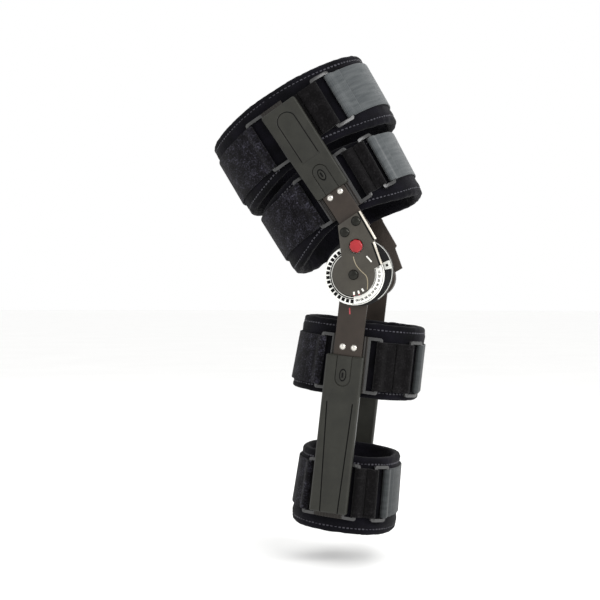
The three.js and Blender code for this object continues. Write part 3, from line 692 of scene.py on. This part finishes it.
def strapRoute(start, end, cloth):  # middle line of the strap as arc and lift, and its length
    thick = strapSettings["thick"][cloth]
    rest = strapSettings["lift"] + thick / 2
    barLift = strapSettings["barLift"]
    turn = barLift - rest
    doubled = rest + thick + strapSettings["plyGap"]
    first, last = start["arc"], end["arc"]
    fold = min(strapSettings["fold"][cloth], (last - first) / 2 - strapSettings["spare"])
    rise = min(strapSettings["rise"], fold - strapSettings["spare"])
    eye = []  # from the folded end over the bar and down to the pad, as distances from the bar
    steps = strapSettings["foldSteps"]
    for k in range(steps + 1):
        eye.append((fold + (rise - fold) * k / steps, doubled))
    steps = strapSettings["riseSteps"]
    for k in range(1, steps + 1):
        climb = 0.5 - 0.5 * math.cos(math.pi * k / steps)
        eye.append((rise * (1 - k / steps), doubled + (barLift + turn - doubled) * climb))
    steps = strapSettings["turnSteps"]
    for k in range(1, steps + 1):
        angle = math.pi / 2 + math.pi * k / steps
        eye.append((turn * math.cos(angle), barLift + turn * math.sin(angle)))
    points = [(first + x, lift) for x, lift in eye] if start["eye"] else [(first, rest)]
    run = int((last - first) / strapSettings["runStep"])
    points += [(first + (last - first) * k / run, rest) for k in range(1, run)]
    points += [(last - x, lift) for x, lift in reversed(eye)] if end["eye"] else [(last, rest)]
    points = [Vector(point) for point in points]
    lengths = [0.0]
    for before, after in zip(points, points[1:]):
        lengths.append(lengths[-1] + (after - before).length)
    normals = []
    for k in range(len(points)):
        along = points[min(k + 1, len(points) - 1)] - points[max(k - 1, 0)]
        normals.append(Vector((-along.y, along.x)).normalized())

    def route(x, z):
        k = min(max(1, bisect.bisect_left(lengths, x)), len(points) - 1)
        part = (x - lengths[k - 1]) / (lengths[k] - lengths[k - 1])
        return points[k - 1].lerp(points[k], part) + normals[k - 1].lerp(normals[k], part).normalized() * z

    return route, lengths[-1]


def makeStrap(cuff, piece, start, end, cloth, look):
    route, length = strapRoute(start, end, cloth)
    width = strapSettings["width"]
    deselectAll()
    bpy.ops.mesh.primitive_grid_add(x_subdivisions=int(length / strapSettings["stepAlong"]),
                                    y_subdivisions=int(width / strapSettings["stepAcross"]),
                                    size=1, location=(length / 2, cuff["strapLow"] + width / 2, 0))
    obj = bpy.context.active_object
    obj.scale = (length, width, 1)
    bpy.ops.object.transform_apply(location=True, rotation=True, scale=True)
    applyModifier(obj, "SOLIDIFY", thickness=strapSettings["thick"][cloth], offset=0)
    roundEdges(obj, strapSettings["edge"], 2, 60)
    benchUv(obj)
    wrapOnCuff(obj, cuff, route)
    smooth(obj, 60)
    node = cuff["name"] + "_" + piece
    finishPiece(obj, node + "_sewn", cuff["body"], look, [node])


# Strap loops: a rounded frame with a window, for the buckles and for the ends of the brackets

loopSettings = {"bar": 3.2, "reach": 4, "corner": 2.6, "edge": 1.5, "thick": 3.2, "cuts": 6}


def loopHeights(cuff):  # foot and top of every loop and plate of a cuff
    low = cuff["strapLow"]
    return low - loopSettings["reach"], low + strapSettings["width"] + loopSettings["reach"]


def loopFrame(cuff, x0, x1):
    y0, y1 = loopHeights(cuff)
    bottom = strapSettings["barLift"] - loopSettings["thick"] / 2
    deselectAll()
    bpy.ops.mesh.primitive_plane_add(size=1, location=((x0 + x1) / 2, (y0 + y1) / 2, bottom))
    obj = bpy.context.active_object
    obj.scale = (x1 - x0, y1 - y0, 1)
    bpy.ops.object.transform_apply(location=True, rotation=True, scale=True)
    bpy.ops.object.mode_set(mode="EDIT")
    bpy.ops.mesh.select_all(action="SELECT")
    bpy.ops.mesh.bevel(offset=loopSettings["corner"], segments=4, affect="VERTICES")
    bpy.ops.mesh.inset(thickness=loopSettings["bar"])
    bpy.ops.mesh.delete(type="FACE")
    bpy.ops.mesh.select_all(action="SELECT")
    bpy.ops.mesh.extrude_region_move(TRANSFORM_OT_translate={"value": (0, 0, loopSettings["thick"])})
    bpy.ops.mesh.select_all(action="SELECT")
    bpy.ops.mesh.normals_make_consistent(inside=False)
    bpy.ops.object.mode_set(mode="OBJECT")

    def roundTheCuff(edge):  # the long edges that have to bend with the pad
        step = edgeStep(obj, edge)
        return abs(step.x) > 3 and abs(step.y) < 0.1

    pick(obj, roundTheCuff, "EDGE")
    bpy.ops.mesh.subdivide(number_cuts=loopSettings["cuts"])
    bpy.ops.object.mode_set(mode="OBJECT")
    roundEdges(obj, loopSettings["edge"], 4, 40)
    return obj


def makeBuckle(cuff):
    near, far = cuff["buckle"]
    half = loopSettings["bar"] / 2
    obj = loopFrame(cuff, near - half, far + half)
    wrapOnCuff(obj, cuff)
    smooth(obj, 50)
    node = cuff["name"] + "_buckle"
    finishPiece(obj, node + "_frame", cuff["body"], "loop", [node])


# Brackets: a ribbed plate under the sleeve with a loop at its ends

bracketSettings = {"lift": 0.4, "thick": 1.8, "ribPitch": 3.0, "ribRise": 0.4, "edge": 0.18, "ramp": 11,
                   "lip": 0.8, "window": 4.3, "overlap": 2.0}


def slopeLoop(obj, barArc, plateArc):  # the loop's bar stands higher than the plate
    barLift = strapSettings["barLift"]
    drop = bracketSettings["lift"] + bracketSettings["thick"] / 2 - barLift
    for vertex in obj.data.vertices:
        part = min(max((vertex.co.x - barArc) / (plateArc - barArc), 0), 1)
        flatten = 1 - part * (1 - bracketSettings["thick"] / loopSettings["thick"])
        vertex.co.z = barLift + drop * part + (vertex.co.z - barLift) * flatten


def makeBracket(cuff, piece, rear, front):
    y0, y1 = loopHeights(cuff)
    half, overlap = loopSettings["bar"] / 2, bracketSettings["overlap"]
    plateFrom = rear["arc"] + max(bracketSettings["ramp"], rear["window"] + bracketSettings["lip"])
    plateTo = front["arc"] - bracketSettings["ramp"] if front["loop"] else front["arc"]
    bottom = bracketSettings["lift"]
    count = max(2, round((plateTo - plateFrom) / bracketSettings["ribPitch"]))
    strip = (plateTo - plateFrom) / count / 2  # a rib or the groove beside it
    plate = block(plateFrom, plateTo, y0, y1, bottom, bottom + bracketSettings["thick"])
    pick(plate, lambda edge: abs(edgeStep(plate, edge).x) > 1, "EDGE")
    bpy.ops.mesh.subdivide(number_cuts=2 * count - 1)
    bpy.ops.object.mode_set(mode="OBJECT")
    pick(plate, lambda face: face.normal.z > 0.9 and int((face.center.x - plateFrom) / strip) % 2 == 0)
    bpy.ops.mesh.extrude_region_move(TRANSFORM_OT_translate={"value": (0, 0, bracketSettings["ribRise"])})
    bpy.ops.object.mode_set(mode="OBJECT")
    roundEdges(plate, bracketSettings["edge"], 1, 60)
    plate.data.materials.append(materials["bracket"])
    frames = [loopFrame(cuff, rear["arc"] - half, plateFrom + overlap)]
    slopeLoop(frames[0], rear["arc"], plateFrom)
    if front["loop"]:
        frames.append(loopFrame(cuff, plateTo - overlap, front["arc"] + half))
        slopeLoop(frames[1], front["arc"], plateTo)
    for ring in frames:
        ring.data.materials.append(materials["loop"])
    obj = joined([plate, *frames])
    wrapOnCuff(obj, cuff)
    smooth(obj, 50)
    node = cuff["name"] + "_" + piece
    finishPiece(obj, node + "_moulded", cuff["body"], None, [node])


# Pads: foam wraps, puffed by a cloth simulation with the band under the strap held down

padSettings = {
    "voxel": 4.0, "frames": 20, "cap": 3.2, "sleeveRoom": 1.6, "heldMargin": 6,
    "hem": 7.0, "hemDepth": 1.0, "hemWide": 2.2,
    "cloth": {"use_pressure": True, "uniform_pressure_force": 250, "mass": 0.05, "tension_stiffness": 5,
              "compression_stiffness": 5, "shear_stiffness": 2.5, "bending_stiffness": 0.1,
              "vertex_group_mass": "held"},
}


def padLocal(cuff, co):  # back from the brace to the half's own millimetres
    return halfTurn[cuff["half"]].inverted() @ Vector(co) * metre


def rimHeights(cuff, place):
    forward = (place.x - cuff["centre"] + cuff["deep"]) / (2 * cuff["deep"])
    arch = min(abs(place.y) / cuff["wide"], 1) ** archPower
    return [rims[0] + (rims[1] - rims[0]) * forward + cuff[key] * arch
            for rims, key in ((cuff["low"], "lowArch"), (cuff["high"], "highArch"))]


def makePad(cuff):
    node = cuff["name"] + "_pad"
    obj = solidCopy(node)
    obj.data.remesh_voxel_size = padSettings["voxel"] * mm
    use(obj)
    bpy.ops.object.voxel_remesh()
    held = obj.vertex_groups.new(name="held")
    margin = padSettings["heldMargin"]
    heldFrom, heldTo = cuff["strapLow"] - margin, cuff["strapLow"] + strapSettings["width"] + margin
    for vertex in obj.data.vertices:
        if heldFrom < padLocal(cuff, vertex.co).z < heldTo:
            held.add([vertex.index], 1.0, "REPLACE")
    start = [vertex.co.copy() for vertex in obj.data.vertices]
    cloth = obj.modifiers.new("puff", "CLOTH")
    for name, value in padSettings["cloth"].items():
        setattr(cloth.settings, name, value)
    cloth.settings.effector_weights.gravity = 0
    for step in range(1, padSettings["frames"] + 1):
        bpy.context.scene.frame_set(step)
    bpy.ops.object.modifier_apply(modifier="puff")
    bpy.context.scene.frame_set(1)
    moves = [(vertex.co - before).length * metre for vertex, before in zip(obj.data.vertices, start)]
    mean, most = round(sum(moves) / len(moves), 2), round(max(moves), 2)
    print("pad puffed:", node, "mean", mean, "mm, most", most, "mm")
    cap, limit = padSettings["cap"] * mm, cuff["wide"] + padSettings["sleeveRoom"]
    for vertex, before in zip(obj.data.vertices, start):
        move = vertex.co - before
        if move.length > cap:
            move = move.normalized() * cap
        place = padLocal(cuff, before + move)
        place.y = min(max(place.y, -limit), limit)
        vertex.co = halfTurn[cuff["half"]] @ place * mm
    obj.vertex_groups.clear()
    applyModifier(obj, "SUBSURF", levels=1, render_levels=1)
    outward = [vertex.normal.copy() for vertex in obj.data.vertices]
    for vertex, normal in zip(obj.data.vertices, outward):  # a sewn hem runs along each rim
        place = padLocal(cuff, vertex.co)
        low, high = rimHeights(cuff, place)
        for away in (place.z - low, high - place.z):
            dip = math.exp(-((away - padSettings["hem"]) / padSettings["hemWide"]) ** 2)
            vertex.co -= normal * dip * padSettings["hemDepth"] * mm
    smooth(obj, 80)
    finishPiece(obj, node + "_foam", cuff["body"], "foam", [node])
    return obj


# Stitches: one bead of thread, repeated along the cuff and laid on the pad in the dip of each hem

stitchSettings = {"long": 2.7, "pitch": 4.2, "wide": 0.8, "low": -0.15, "high": 0.45, "edge": 0.25,
                  "above": 1}


def makeStitches(cuff, pad):
    rows = []
    half, pitch = stitchSettings["wide"] / 2, stitchSettings["pitch"]
    middle = sum(cuff["low"] + cuff["high"]) / 4
    for rim, inset in ((0, padSettings["hem"]), (1, -padSettings["hem"])):
        row = block(0, stitchSettings["long"], -half, half, stitchSettings["low"], stitchSettings["high"])
        roundEdges(row, stitchSettings["edge"], 1)
        applyModifier(row, "ARRAY", count=int(cuff["length"] / pitch), use_relative_offset=False,
                      use_constant_offset=True, constant_offset_displace=(pitch, 0, 0))
        for vertex in row.data.vertices:
            x, y, z = vertex.co
            heights = rimHeights(cuff, padLocal(cuff, onCuff(cuff, x, 0, middle)))
            above = onCuff(cuff, x, stitchSettings["above"], heights[rim] + inset + y)
            place, normal = pad.closest_point_on_mesh(above)[1:3]
            vertex.co = place + normal * z * mm
        row.data.update()
        rows.append(row)
    stitches = joined(rows)
    smooth(stitches, 60)
    finishPiece(stitches, cuff["name"] + "_stitches", cuff["body"], "thread")


for cuff in cuffs:
    measureOval(cuff)
    half = cuff["length"] / 2
    nearEye, farEye = ({"arc": arc, "eye": True} for arc in cuff["buckle"])
    leftEye = {"arc": cuff["leftLoop"], "eye": True}
    sideEye = {"arc": cuff["rightLoop"], "eye": True}
    if cuff["rightLoop"] is None:  # the strap is tucked under the sleeve instead
        sideEye = {"arc": cuff["tuck"] + strapSettings["tuckGap"], "eye": False}
    medialFront = {"arc": half - medialReach, "eye": True}
    medialRear = {"arc": medialReach - half, "eye": True}
    # below the hinge the front strap takes the darkened copy of the webbing, painted shade
    frontLook = "webbing" if cuff["half"] == "thigh" else "shadedWebbing"
    makeStitches(cuff, makePad(cuff))
    makeStrap(cuff, "rear_strap", medialRear, leftEye, "loopFabric", "loopFabric")
    makeStrap(cuff, "side_strap", sideEye, nearEye, "loopFabric", "blackerLoop")
    makeStrap(cuff, "front_strap", farEye, medialFront, "webbing", frontLook)
    makeBuckle(cuff)
    makeBracket(cuff, "bracket", {"arc": cuff["leftLoop"], "window": cuff["leftWindow"]},
                {"arc": sideEye["arc"], "loop": sideEye["eye"]})
    makeBracket(cuff, "medial_bracket", {"arc": half - medialReach, "window": bracketSettings["window"]},
                {"arc": half + medialReach, "loop": True})
    print("cuff made:", cuff["name"])


# Studio: pale floor, white surroundings, and a large soft key light from the front of the brace

studio = {"floorDrop": 0.03, "floorSize": 60, "white": 1.0,
          "lights": [  # name, place, size, watts
              ("key", (1.1, -1.3, 1.0), 0.9, 15),
              ("fill", (-1.2, -1.2, 0.5), 1.4, 4),
              ("back", (0.6, 1.4, 0.9), 1.0, 8),
              ("edge", (1.7, -0.5, 0.5), 0.5, 14)]}
deselectAll()
bpy.ops.mesh.primitive_plane_add(size=studio["floorSize"],
                                 location=(0, 0, cadBox[0][2] - studio["floorDrop"]))
floor = bpy.context.active_object
floor.name = "floor"
# matte painted board: nearly white, too even to draw the eye
floor.data.materials.append(grained("matte_studio_floor", "#fafaf9", "#fdfdfc", 4, 0.02, (0.8, 0.9), 400))

world = bpy.data.worlds.new("studio")
world.use_nodes = True
world.node_tree.nodes["Background"].inputs["Color"].default_value = (1, 1, 1, 1)
world.node_tree.nodes["Background"].inputs["Strength"].default_value = studio["white"]
bpy.context.scene.world = world

for name, place, size, watts in studio["lights"]:
    light = bpy.data.lights.new(name, "AREA")
    light.size, light.energy = size, watts
    lamp = bpy.data.objects.new(name, light)
    lamp.location = place
    lamp.rotation_euler = (-Vector(place)).to_track_quat("-Z", "Y").to_euler()
    bpy.context.scene.collection.objects.link(lamp)

# Camera: level with the hinge, and turned to the front of square on to the outer side
shot = {"turn": 12.0, "distance": 1.22, "lens": 73.2, "sensor": 36, "leftOfHinge": 0.0535,
        "belowHinge": 0.0252}
turn = math.radians(shot["turn"])
ahead = Vector((-math.sin(turn), math.cos(turn), 0))
right = Vector((math.cos(turn), math.sin(turn), 0))
up = Vector((0, 0, 1))
hinge = Vector((0, -faces["arm"]["out"] * mm, 0))
cameraData = bpy.data.cameras.new("camera")
cameraData.lens, cameraData.sensor_width = shot["lens"], shot["sensor"]
camera = bpy.data.objects.new("camera", cameraData)
bpy.context.scene.collection.objects.link(camera)
camera.matrix_world = Matrix((right, up, -ahead)).transposed().to_4x4()
camera.location = hinge - ahead * shot["distance"] - right * shot["leftOfHinge"] - up * shot["belowHinge"]
bpy.context.scene.camera = camera
bpy.context.scene.view_settings.view_transform = "Standard"
